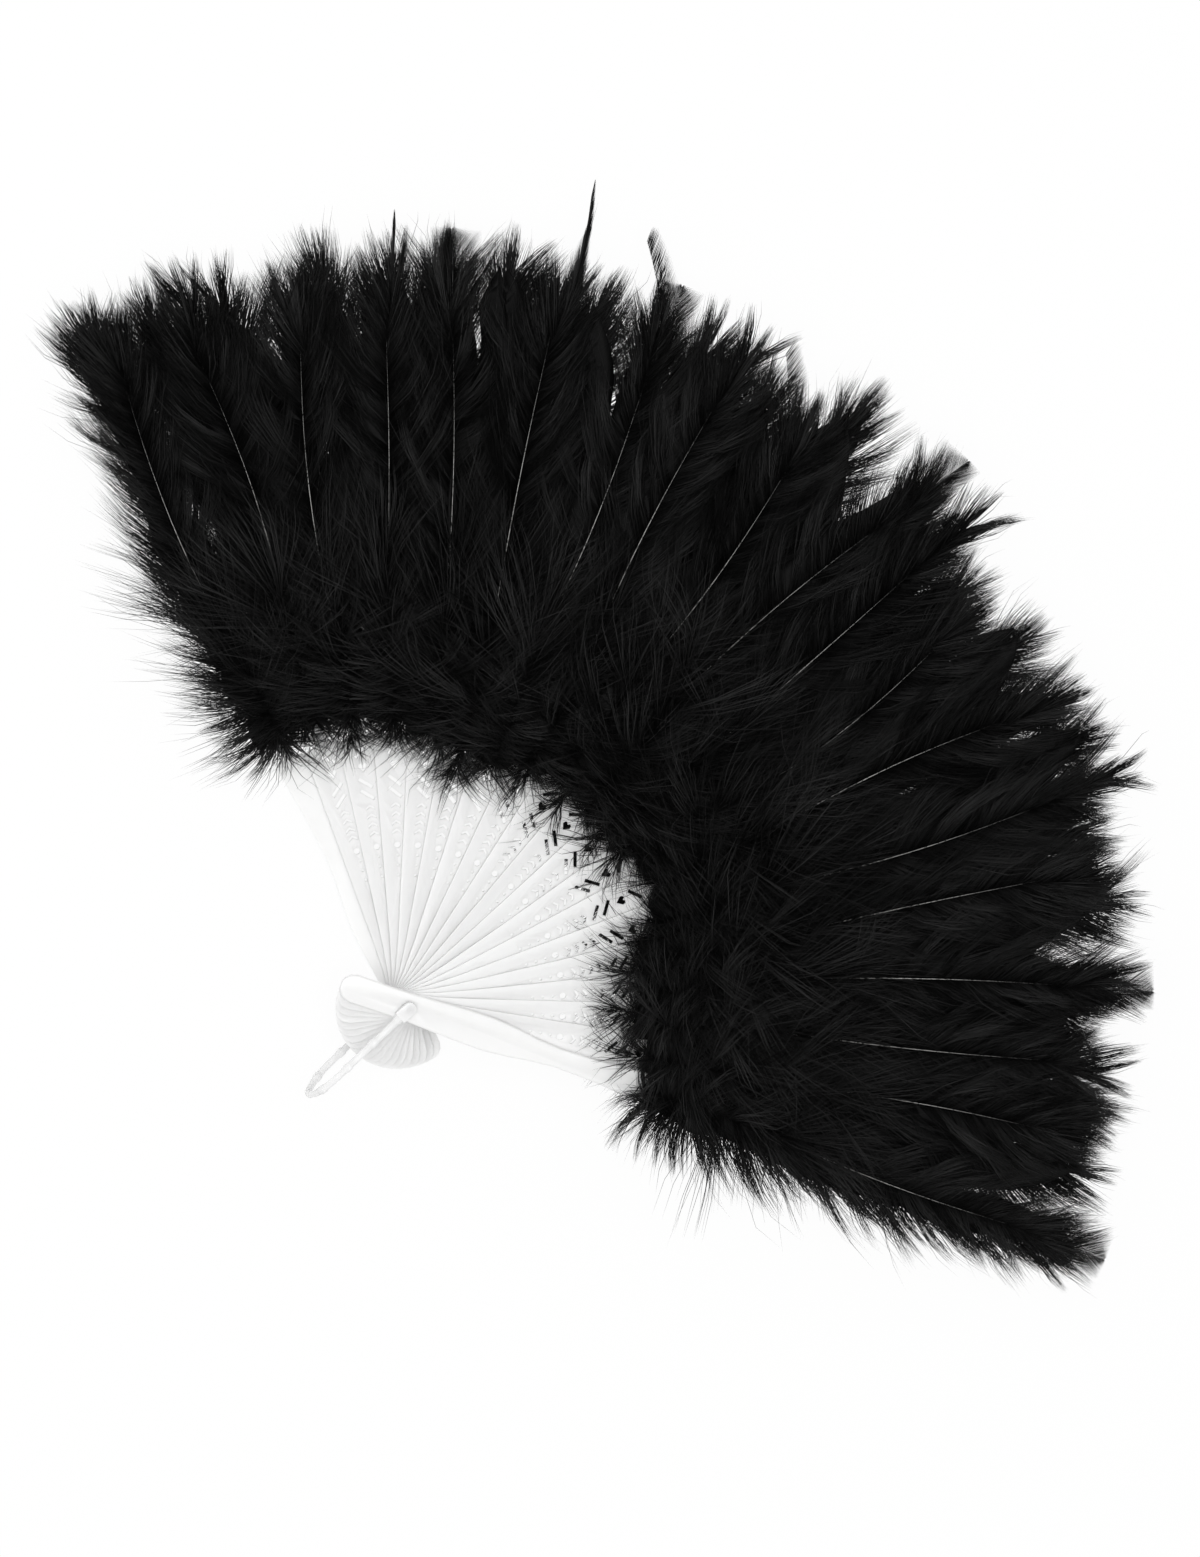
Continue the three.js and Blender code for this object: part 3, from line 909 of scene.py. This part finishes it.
    def build_quills(self, finish: Material) -> Object:
        """Makes the quills that show, each drawn out along its line from a small ring.

        Args:
            finish: The material of the horn.

        Returns:
            The new object.
        """
        form = self.quill_form
        work = bmesh.new()
        stations = np.linspace(0, 1, form.stations)
        for shape in self.feathers:
            if shape.quill <= 0:
                continue
            quill = self.quill_line(shape, stations)
            first, last = shape.shown
            sunk_at, sunk_to = form.sink
            clear = np.interp(stations, [first - form.rise, first, last, sunk_at], [0, 1, 1, sunk_to])
            quill[:, 2] += self.side.value * form.stand * clear
            line = [Vector(point) for point in self.to_fan(quill)]
            facing = (line[1] - line[0]).to_track_quat("Z", "Y").to_matrix().to_4x4()
            start = Matrix.Translation(line[0]) @ facing
            radius = shape.quill * MM
            ring = bmesh.ops.create_circle(work, segments=form.sides, radius=radius, matrix=start)["verts"]
            edges = list({edge for vert in ring for edge in vert.link_edges})
            for before, here, share in zip(line[:-1], line[1:], stations[1:]):
                grown = bmesh.ops.extrude_edge_only(work, edges=edges)["geom"]
                ring = [item for item in grown if isinstance(item, BMVert)]
                edges = [item for item in grown if isinstance(item, BMEdge)]
                slim = (1 - form.taper * share) / (1 - form.taper * (share - stations[1]))
                about = Matrix.Translation(-here)
                bmesh.ops.translate(work, verts=ring, vec=here - before)
                bmesh.ops.scale(work, verts=ring, vec=(slim, slim, slim), space=about)
        bmesh.ops.holes_fill(work, edges=work.edges, sides=0)
        bmesh.ops.recalc_face_normals(work, faces=work.faces)
        return add_piece(to_mesh(work, self.name("quills"), smooth=True), finish)

    def build_vanes(self, finish: Material) -> Object:
        """Makes the closed vanes under the barbs: long leaves with round tips, arched along their quills.

        Args:
            finish: The material of the barbs, which are zipped together here.

        Returns:
            The new object.
        """
        form = self.vane_form
        work = bmesh.new()
        for shape in self.feathers:
            if shape.vane <= 0:
                continue
            cuts_along, cuts_across = form.cuts
            grid = bmesh.ops.create_grid(work, x_segments=cuts_along, y_segments=cuts_across, size=1.0)
            leaf = grid["verts"]
            along = np.array([(vert.co.x + 1) / 2 for vert in leaf])
            across = np.array([vert.co.y for vert in leaf])
            share = along * (1 + shape.vane_over / (shape.tip - shape.root))
            room = form.room_share * self.layout.pitch * (shape.root + (shape.tip - shape.root) * share)
            taper = np.sqrt(np.clip(1 - along**shape.bluntness, form.least_taper, 1))
            half = np.minimum(shape.vane, room) * taper
            ragged = shape.tip + shape.bow
            edge = form.edge_wave_along * along + form.edge_wave_across * across + ragged
            half *= 1 + form.edge_wave * np.sin(edge)
            share += form.tip_wave * along**form.tip_power * np.sin(form.tip_wave_across * across + ragged)
            points = self.quill_line(shape, share)
            points[:, 1] += half * across
            points[:, 2] -= self.side.value * (form.below_quill + form.camber * across**2)
            for vert, place in zip(leaf, self.to_fan(points)):
                vert.co = place
        bmesh.ops.recalc_face_normals(work, faces=work.faces)
        bmesh.ops.solidify(work, geom=work.faces[:], thickness=form.thickness * MM)
        return add_piece(to_mesh(work, self.name("vanes"), smooth=True), finish)

    def attach(self, *pieces: Object) -> None:
        """Makes pieces ride on the stick, and gives each that is not outermost a mesh of its own.

        Args:
            *pieces: The plume's pieces.
        """
        layout = self.layout
        face = layout.blade_thickness if self.side is Side.FRONT else 0.0
        for piece in pieces:
            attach(piece, layout.body(self.stick))
            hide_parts(layout.plume_node(self.stick))
            if not self.outermost:
                anchor = (0, 0, (layout.rib_z(self.stick) + face) * MM)
                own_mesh(piece)


@dataclass(frozen=True)
class StickFeathers:
    """The feathers of one stick. Lengths are in millimetres."""

    fan: Plumage
    stick: int

    def feathers(self, side: Side, count: int) -> list[FeatherShape]:
        """Lists the feathers on one face of the stick.

        Args:
            side: The face.
            count: How many barbs they have to share.

        Returns:
            The feathers, whose barbs add up to the count.
        """
        if side is Side.BACK:
            plume, others = self.back_plume, [self.back_down, self.back_locks]
        else:
            plume, others = self.front_plume, [self.down, self.strays, self.tip_locks]
            if self.on_guard:
                others += [self.side_tuft, self.side_fringe]
            if self.stick in self.fan.blunt:
                others.append(self.blunt_vane)
            if self.stick in self.fan.spikes:
                others.append(self.spike)
        return [plume(count - sum(shape.barbs for shape in others)), *others]

    def wander(self, middle: float, amount: float, pace: float, start: float = 0.0) -> float:
        """Varies a value from stick to stick, with no repeat that shows.

        Args:
            middle: The value about which it varies.
            amount: How far it goes to either side.
            pace: How far along a wave each stick is from the one before, in radians.
            start: Where on the wave stick 0 is, in radians.

        Returns:
            The value for this stick.
        """
        return middle + amount * math.sin(pace * self.stick + start)

    def edge(self, radii: tuple[float, ...]) -> float:
        """The inner edge of the down at the stick, from the pivot."""
        return float(np.interp(self.stick, np.linspace(0, self.fan.layout.last, len(radii)), radii))

    @property
    def on_guard(self) -> bool:
        """Whether the stick is one of the two guards, whose plumes show their outer edges."""
        return self.stick in (0, self.fan.layout.last)

    @property
    def reach(self) -> float:
        """How far out the plume goes from the pivot."""
        return self.fan.reaches[self.stick]

    @property
    def drift(self) -> float:
        """How far the tip of the front plume strays to one side."""
        return self.wander(0, 4.5, 1.9) + self.wander(0, 3.0, 5.3) + self.fan.leans.get(self.stick, 0.0)

    @property
    def back_reach(self) -> float:
        """How far out the plume behind the rib goes from the pivot."""
        return self.wander(self.reach + 2, 4, 3.1)

    @property
    def back_lean(self) -> float:
        """How far the tip of the plume behind the rib leans over, to fill the gap to the stick before."""
        gap_share = self.wander(0.5, 0.15, 4.3)
        return gap_share * self.fan.layout.pitch * self.back_reach if self.stick else 2.0

    @property
    def depth(self) -> float:
        """How much room there is behind the rib."""
        return min(self.fan.most_depth, self.fan.layout.rib_z(self.stick) - self.fan.floor_clearance)

    @property
    def front_vane(self) -> float:
        """Half the width of the front plume's vane, which is narrow on the guards and the first sticks."""
        narrow = self.stick < self.fan.narrow_sticks or self.on_guard
        return self.fan.narrow_vane if narrow else self.fan.broad_vane

    def front_plume(self, barbs: int) -> FeatherShape:
        """The long plume that shows, with its quill on top.

        Args:
            barbs: How many barbs it has.

        Returns:
            The feather.
        """
        return FeatherShape(
            root=self.wander(138, 9, 2.7),
            tip=self.reach - 22,
            barbs=barbs,
            length=(32, 32, 26) if self.on_guard else (38, 40, 26),
            angle=(50, 46, 60),
            height=(3, 6.5),
            reach=self.reach,
            offset=-0.2 * self.drift,
            sway=1.2 * self.drift,
            bow=self.wander(0, 3.5, 3.7, 1),
            straighten=0.3 if self.on_guard else 0.15,
            thickness=0.15,
            splay=1.0,
            quill=0.22,
            shown=(self.wander(0.16, 0.14, 2.3), self.wander(0.6, 0.25, 4.1)),
            vane=self.front_vane,
            vane_over=10,
            bluntness=self.wander(6, 3, 2.9),
        )

    def back_plume(self, barbs: int) -> FeatherShape:
        """The long plume behind the rib.

        Args:
            barbs: How many barbs it has.

        Returns:
            The feather.
        """
        return FeatherShape(
            root=140,
            tip=self.back_reach - 22,
            barbs=barbs,
            length=(38, 40, 26) if self.stick else (28, 28, 24),
            angle=(50, 46, 60),
            height=(0.2 * self.depth, 0.6 * self.depth),
            reach=self.back_reach,
            sway=self.back_lean,
            straighten=0.15,
            thickness=0.16,
            splay=1.0,
            quill=0.36,
            shown=(self.wander(0.15, 0.12, 3.9), self.wander(0.7, 0.2, 2.6)),
            vane=13.5 if self.stick else 6.5,
            vane_over=6,
            bluntness=self.wander(6, 3, 1.7),
        )

    @property
    def back_locks(self) -> FeatherShape:
        """The locks at the tip of the plume behind the rib."""
        reach = self.back_reach + 4
        return FeatherShape(
            root=reach - 50,
            tip=reach - 20,
            barbs=300,
            length=(34, 28),
            angle=(34, 12),
            height=(0.5 * self.depth, 0.6 * self.depth),
            reach=reach,
            lift=0.06,
            offset=0.65 * self.back_lean,
            sway=0.35 * self.back_lean,
            straighten=0.6,
            ruffle=1.2,
            lock=22,
            cling=0.7,
        )

    @property
    def tip_locks(self) -> FeatherShape:
        """The locks at the front plume's tip, whose barbs draw together to points."""
        reach = self.reach + self.fan.far_locks.get(self.stick, self.wander(5, 5, 2.1))
        return FeatherShape(
            root=reach - 42,
            tip=reach - 20,
            barbs=240,
            length=(32, 28),
            angle=(27, 9),
            height=(4, 6),
            reach=reach,
            lift=0.06,
            offset=self.drift,
            sway=6 * math.cos(3.3 * self.stick),
            straighten=0.7,
            ruffle=1.2,
            lock=30,
            cling=0.75,
        )

    @property
    def down(self) -> FeatherShape:
        """The tuft of down that hides the root of the plume and hangs in over the blade."""
        return FeatherShape(
            root=self.edge(self.fan.front_edge) + 3,
            tip=168,
            barbs=1400,
            length=(13, 24, 32, 34, 30),
            angle=(160, 72, 42, 28, 18),
            height=(2, 7),
            reach=205,
            lift=0.24,
            sway=-0.5 * self.drift,
            straighten=0.55,
            ruffle=2.4,
            thickness=0.16,
            lock=14,
            vane=9,
        )

    @property
    def strays(self) -> FeatherShape:
        """The loose strands that hang in over the blade."""
        edge = self.wander(self.edge(self.fan.front_edge), 4, 2.2)
        return FeatherShape(
            root=edge - 3,
            tip=edge + 14,
            barbs=90,
            length=(10, 18, 22),
            angle=(170, 145, 110),
            height=(2.5, 5),
            reach=200,
            lift=0.05,
            offset=self.wander(0, 5, 1.3),
            straighten=0.85,
            ruffle=2.8,
            thickness=0.19,
            lock=6,
            cling=0.65,
        )

    @property
    def side_tuft(self) -> FeatherShape:
        """The tuft that bulges past a guard's outer edge."""
        edge = self.edge(self.fan.front_edge)
        return FeatherShape(
            root=edge + 2,
            tip=edge + 30,
            barbs=520,
            length=(20, 24),
            angle=(132, 58),
            height=(1, 3),
            reach=200,
            lift=-0.06,
            offset=-4 if self.stick else 3,
            straighten=0.65,
            ruffle=1.2,
            lock=16,
            cling=0.7,
        )

    @property
    def side_fringe(self) -> FeatherShape:
        """The short loose barbs along a guard's plume, which end in points."""
        return FeatherShape(
            root=126,
            tip=self.reach - 14,
            barbs=900,
            length=(26, 28, 28, 22),
            angle=(54, 38, 30, 26),
            height=(1.5, 4),
            reach=self.reach,
            lift=0.02,
            offset=-7 if self.stick else 2,
            sway=self.drift,
            lock=12,
            cling=0.7,
        )

    @property
    def back_down(self) -> FeatherShape:
        """The tuft of down behind the rib. It shows through the cuts in the blade."""
        return FeatherShape(
            root=self.edge(self.fan.front_edge if self.on_guard else self.fan.back_edge) + 4,
            tip=166,
            barbs=600,
            length=(15, 24, 28),
            angle=(160, 65, 28),
            height=(0.2 * self.depth, 0.6 * self.depth),
            reach=200,
            lift=0.12,
            sway=0.5 * self.drift,
            straighten=0.85,
            ruffle=2.0,
            thickness=0.16,
            lock=12,
            vane=0 if self.on_guard else 9,
        )

    @property
    def blunt_vane(self) -> FeatherShape:
        """A sheer flat vane whose tip was cut square."""
        return FeatherShape(
            root=self.reach - 34,
            tip=self.reach + 6,
            barbs=300,
            length=(18, 18),
            angle=(42, 30),
            height=(3.5, 4.5),
            reach=self.reach + 7,
            lift=0.02,
            offset=self.drift,
            sway=0.4 * self.drift,
            straighten=0.85,
            ruffle=0.04,
            thickness=0.08,
            taper=0.8,
            cling=0.0,
            quill=0.25,
        )

    @property
    def spike(self) -> FeatherShape:
        """A narrow curved feather tip that stands out of the fan's edge."""
        reach, place, aside = self.fan.spikes[self.stick]
        return FeatherShape(
            root=reach - 70,
            tip=reach - 6,
            barbs=180,
            length=(28, 18, 8),
            angle=(26, 7, 0.5),
            height=(4, 6),
            reach=reach,
            lift=0.02,
            offset=place,
            sway=aside,
            bow=-3.5,
            straighten=0.3,
            ruffle=0.05,
            thickness=0.16,
            cling=0.0,
        )


@dataclass
class Plumage:
    """The plumes of the whole fan. Each stick's plume has its own reach, and a few have odd tips.

    Lengths are in millimetres. Rows run from the rear guard round to the front guard.
    """

    layout: FanLayout
    # How far out each plume goes from the pivot
    reaches: tuple[int, ...] = (
        281, 279, 279, 281, 280, 283, 278, 279, 274, 284,
        276, 267, 279, 281, 276, 278, 271, 275, 280,
    )  # fmt: skip
    # The sticks with a square-cut vane, those whose tip locks go further out, and those whose tips lean
    blunt: tuple[int, ...] = (4, 6, 9, 15, 18)
    far_locks: dict[int, float] = field(default_factory=lambda: {10: 16, 13: 12, 16: 10})
    leans: dict[int, float] = field(default_factory=lambda: {0: -5, 9: -7, 15: -5, 17: -4, 18: -8})
    # How far out each spike's tip is, its root's place to one side, and how far its tip turns aside
    spikes: dict[int, tuple[float, float, float]] = field(
        default_factory=lambda: {3: (293, 1, -9), 5: (312, 2, -3), 6: (301, -4, 18), 8: (284, 2, 22)}
    )
    # How many barbs a face has before they are doubled
    seeds: dict[Side, int] = field(default_factory=lambda: {Side.FRONT: 7, Side.BACK: 4})
    guard_seeds: int = 10
    # The inner edge of the down
    front_edge: tuple[float, ...] = (106, 106, 97, 91, 99, 95, 102, 86, 82, 94)
    back_edge: tuple[float, ...] = (106, 100, 77, 75, 73)
    narrow_vane: float = 8.0
    broad_vane: float = 11.5
    narrow_sticks: int = 3
    most_depth: float = 9.0
    floor_clearance: float = 1.0

    def build(self, down: Material, vane: Material, horn: Material) -> None:
        """Makes and attaches every plume.

        Args:
            down: The material of the loose barbs.
            vane: The material of the closed vanes.
            horn: The material of the quills.
        """
        fields = {side: BarbField(seeds) for side, seeds in self.seeds.items()}
        guard_field = BarbField(self.guard_seeds)
        for stick in range(self.layout.last + 1):
            on_stick = StickFeathers(self, stick)
            for side in Side:
                fuller = side is Side.FRONT and on_stick.on_guard
                barb_field = guard_field if fuller else fields[side]
                shapes = on_stick.feathers(side, barb_field.count)
                plume = Plume(self.layout, barb_field, stick, side, shapes)
                plume.attach(plume.build_barbs(down), plume.build_vanes(vane), plume.build_quills(horn))
        for barb_field in (*fields.values(), guard_field):
            bpy.data.meshes.remove(barb_field.mesh)


@dataclass
class MouldedPieces:
    """The rigid plastic pieces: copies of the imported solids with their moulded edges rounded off."""

    weld: float = 0.002  # points closer than this are one, in millimetres
    flat_deg: float = 0.5  # faces that meet at less than this are one
    corner_deg: float = 60.0  # edges sharper than this are rounded off
    edge_round: float = 0.13  # in millimetres
    edge_segments: int = 2
    sharp_deg: float = 28.0  # edges sharper than this stay sharp in the shading

    def build(self, node: str, body: str, slot: str, finish: Material) -> Object:
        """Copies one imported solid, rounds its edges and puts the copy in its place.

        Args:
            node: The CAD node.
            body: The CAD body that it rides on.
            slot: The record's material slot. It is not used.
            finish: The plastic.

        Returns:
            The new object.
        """
        work = bmesh.new()
        work.from_mesh(bpy.data.objects[node].data)
        bmesh.ops.remove_doubles(work, verts=work.verts, dist=self.weld * MM)
        bmesh.ops.dissolve_limit(
            work,
            angle_limit=math.radians(self.flat_deg),
            verts=work.verts,
            edges=work.edges,
            use_dissolve_boundaries=False,
        )
        corner = math.radians(self.corner_deg)
        corners = [edge for edge in work.edges if edge.is_manifold and edge.calc_face_angle(0.0) > corner]
        bmesh.ops.bevel(
            work,
            geom=corners,
            offset=self.edge_round * MM,
            offset_type="OFFSET",
            affect="EDGES",
            segments=self.edge_segments,
            profile=0.5,
            material=-1,
            clamp_overlap=True,
        )
        mesh = to_mesh(work, f"moulded_{node}")
        mesh.shade_smooth()
        mesh.set_sharp_from_angle(angle=math.radians(self.sharp_deg))
        piece = add_piece(mesh, finish)
        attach(piece, body)
        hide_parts(node)
        return piece


@dataclass
class LinkTape:
    """The tape that ties each rib to the next, one span for each pair of sticks."""

    layout: FanLayout
    lap: float = 2.0
    steps: int = 12

    def build(self, span: int, finish: Material) -> Object:
        """Makes one span, spun as a flat strip about the pivot.

        Args:
            span: The span's number, from 1. It starts at the stick before that.
            finish: The woven cotton.

        Returns:
            The new object.
        """
        layout = self.layout
        lap_angle = self.lap / layout.tape_radius
        start = layout.angle(span - 1) + lap_angle
        sweep = layout.pitch + 2 * lap_angle
        gap = layout.layer_pitch - layout.rib_thickness - layout.tape_thickness
        height = layout.rib_z(span - 1) + layout.rib_thickness + gap / 2
        way = Vector((math.cos(start), math.sin(start), 0))
        level = Vector((0, 0, height * MM))
        work = bmesh.new()
        radii = (layout.tape_radius + side * layout.tape_width / 2 for side in (-1, 1))
        ends = [work.verts.new(way * radius * MM + level) for radius in radii]
        bmesh.ops.spin(
            work,
            geom=[*ends, work.edges.new(ends)],
            axis=(0, 0, 1),
            cent=(0, 0, 0),
            angle=-sweep,
            steps=self.steps,
            use_merge=False,
        )
        bmesh.ops.recalc_face_normals(work, faces=work.faces)
        mesh = to_mesh(work, f"tape_span_{span:02d}")
        cloth = mesh.uv_layers.new(name="cloth")
        for loop in mesh.loops:
            point = mesh.vertices[loop.vertex_index].co
            turned = start - math.atan2(point.y, point.x)
            cloth.data[loop.index].uv = (turned * layout.tape_radius * MM, point.to_2d().length)
        piece = add_piece(mesh, finish)
        thick = piece.modifiers.new("tape_thickness", "SOLIDIFY")
        thick.thickness = layout.tape_thickness * MM
        thick.offset = 1.0
        self._attach(piece, span)
        return piece

    def _attach(self, piece: Object, span: int) -> None:
        """Ties a span to the lower of its two ribs.

        Args:
            piece: The span.
            span: Its number.
        """
        layout = self.layout
        angle = layout.angle(span - 1)
        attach(piece, layout.body(span - 1))
        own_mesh(piece)
        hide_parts(f"link_tape_{span:02d}")
        f"moulded_{layout.body(span - 1)}"


@dataclass
class Studio:
    """Floor, light and camera, which looks down on the open fan from a little to its rear guard's side.

    Sizes are in metres where their names don't say otherwise.
    """

    floor_size: float = 6.0
    floor_gap_mm: float = 0.2
    target_mm: tuple[float, float, float] = (-2.5, 110.3, 14.0)
    view_height_mm: float = 580.8
    distance: float = 1.6
    lean_deg: float = 12.0
    image_up_deg: float = 133.1  # where the picture's top edge lies, from +X in the fan's plane
    sensor_mm: float = 36.0
    sight: float = 20.0
    world_share: float = 0.685
    key_watts: float = 8.5
    key_size: float = 1.1
    key_place: tuple[float, float, float] = (-0.22, 0.1, 1.36)

    def build_floor(self, finish: Material) -> None:
        """Lays the paper that the fan rests on.

        Args:
            finish: The paper.
        """
        work = bmesh.new()
        below = Matrix.Translation((0, 0, -self.floor_gap_mm * MM))
        bmesh.ops.create_grid(work, x_segments=1, y_segments=1, size=self.floor_size / 2, matrix=below)
        floor = add_piece(to_mesh(work, "studio_floor"), finish)

    def build_lights(self) -> None:
        """Hangs one large soft lamp over the fan, in an even white room."""
        world = bpy.data.worlds.new("white_room")
        world.use_nodes = True
        tree = world.node_tree
        tree.nodes.clear()
        inputs = {"Value": seen_directly(tree), "To Min": self.world_share}
        level = add_node(tree, "MapRange", inputs=inputs)
        room = add_node(tree, "Background", inputs={"Color": WHITE, "Strength": level})
        add_node(tree, "OutputWorld", inputs={"Surface": room})
        bpy.context.scene.world = world
        lamp = bpy.data.lights.new("soft_key", "AREA")
        lamp.shape = "DISK"
        lamp.size = self.key_size
        lamp.energy = self.key_watts
        key = bpy.data.objects.new("soft_key", lamp)
        key.location = self.key_place
        aim = Vector(self.target_mm) * MM - key.location
        key.rotation_euler = aim.to_track_quat("-Z", "Y").to_euler()
        bpy.context.collection.objects.link(key)

    def build_camera(self) -> None:
        """Sets the camera up at the photograph's angle and framing."""
        lens = bpy.data.cameras.new("camera")
        lens.sensor_fit = "VERTICAL"
        lens.sensor_height = self.sensor_mm
        lens.lens = lens.sensor_height * self.distance / (self.view_height_mm * MM)
        lens.clip_end = self.sight
        camera = bpy.data.objects.new("camera", lens)
        lean, up_angle = math.radians(self.lean_deg), math.radians(self.image_up_deg)
        back = Vector((-math.sin(lean), 0, math.cos(lean)))
        up = Vector((math.cos(up_angle), math.sin(up_angle), 0))
        up = (up - back * up.dot(back)).normalized()
        right = up.cross(back)
        turn = Matrix((right, up, back)).transposed().to_4x4()
        camera.matrix_world = Matrix.Translation(Vector(self.target_mm) * MM + back * self.distance) @ turn
        bpy.context.collection.objects.link(camera)
        bpy.context.scene.camera = camera


def main() -> None:
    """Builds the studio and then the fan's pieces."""
    logging.basicConfig(level=logging.INFO, format="%(name)s %(message)s")
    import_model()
    bpy.context.scene.view_settings.view_transform = "Standard"
    layout = FanLayout()
    studio = Studio()
    studio.build_camera()
    studio.build_floor(StudioPaper().material())
    studio.build_lights()

    stick_plastic = MilkyPolypropylene("stick_polypropylene").material()
    loop_plastic = MilkyPolypropylene(
        "loop_polypropylene", colour="efefef", flow_colour="e8e8e8", smoothest=0.14, roughest=0.24
    ).material()
    moulded = MouldedPieces()
    for stick in range(layout.last + 1):
        moulded.build(layout.body(stick), layout.body(stick), "stick_plastic", stick_plastic)
    moulded.build("carry_loop", "carry_loop", "loop_plastic", loop_plastic)
    moulded.build("pivot_pin", layout.body(0), "stick_plastic", stick_plastic)

    tape = LinkTape(layout)
    cotton = CottonTape().material()
    for span in range(1, layout.last + 1):
        tape.build(span, cotton)

    Plumage(layout).build(DyedMarabou().material(), DyedVane().material(), QuillHorn().material())


if __name__ == "__main__":
    main()
